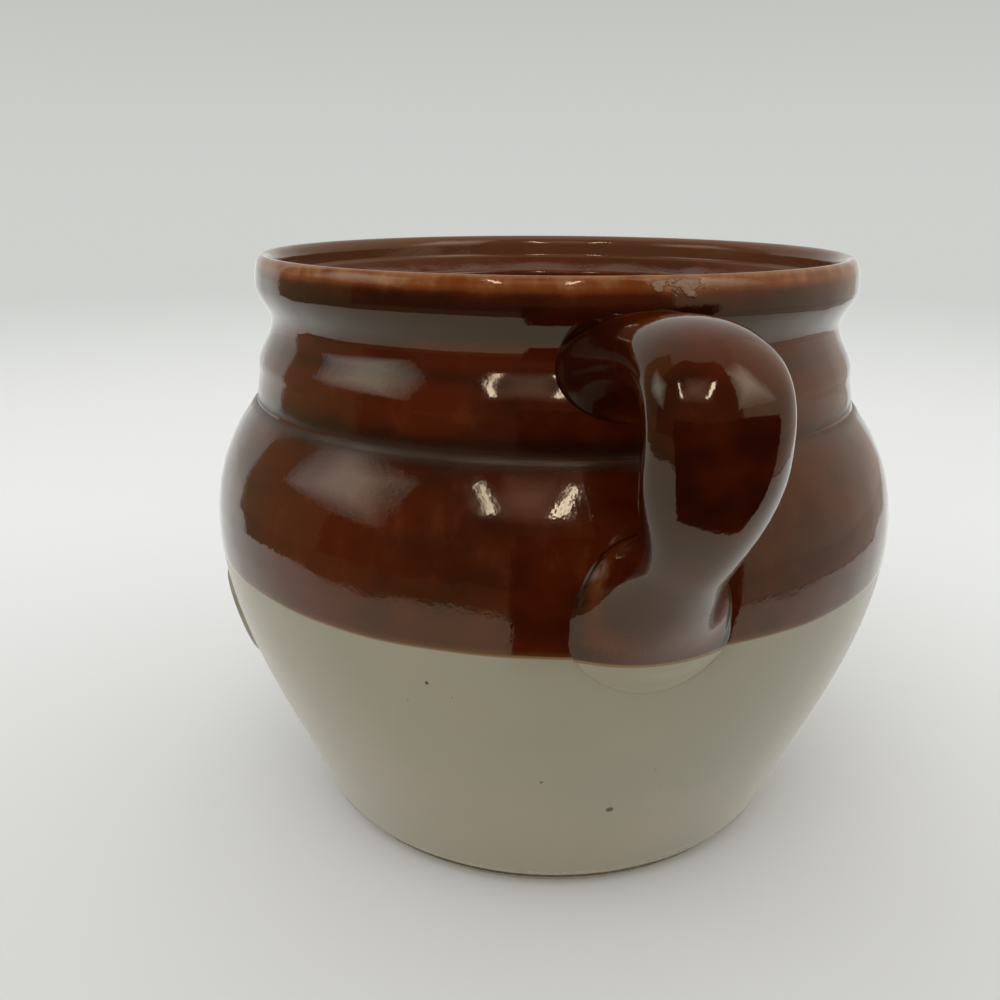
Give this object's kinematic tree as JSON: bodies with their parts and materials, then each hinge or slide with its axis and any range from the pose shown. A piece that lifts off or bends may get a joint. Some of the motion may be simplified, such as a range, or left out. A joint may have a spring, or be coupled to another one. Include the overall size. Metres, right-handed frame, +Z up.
{
  "type": "bean pot",
  "caption": "Squat round stoneware bean pot with a rolled rim, a lid seat and one ear handle, dark glaze over pale glaze.",
  "frame": {"origin": "middle of the flat foot, on the surface the pot stands on", "axes": "+Z up, out of the mouth; +X from the pot's axis out through the handle; the medallion faces -Y"},
  "size_m": [0.2204, 0.1894, 0.157],
  "materials": {
    "bare_stoneware": "unglazed, fine sandy grain",
    "dark_glaze": "glossy reddish-brown slip glaze, amber where it breaks thin",
    "pale_glaze": "satin-gloss greyish cream glaze with fine iron specks"
  },
  "bodies": {
    "root": {"stoneware_body": "bare_stoneware", "dark_glaze": "dark_glaze", "pale_glaze": "pale_glaze", "handle": "dark_glaze", "blank_medallion": "pale_glaze"}
  },
  "joints": []
}
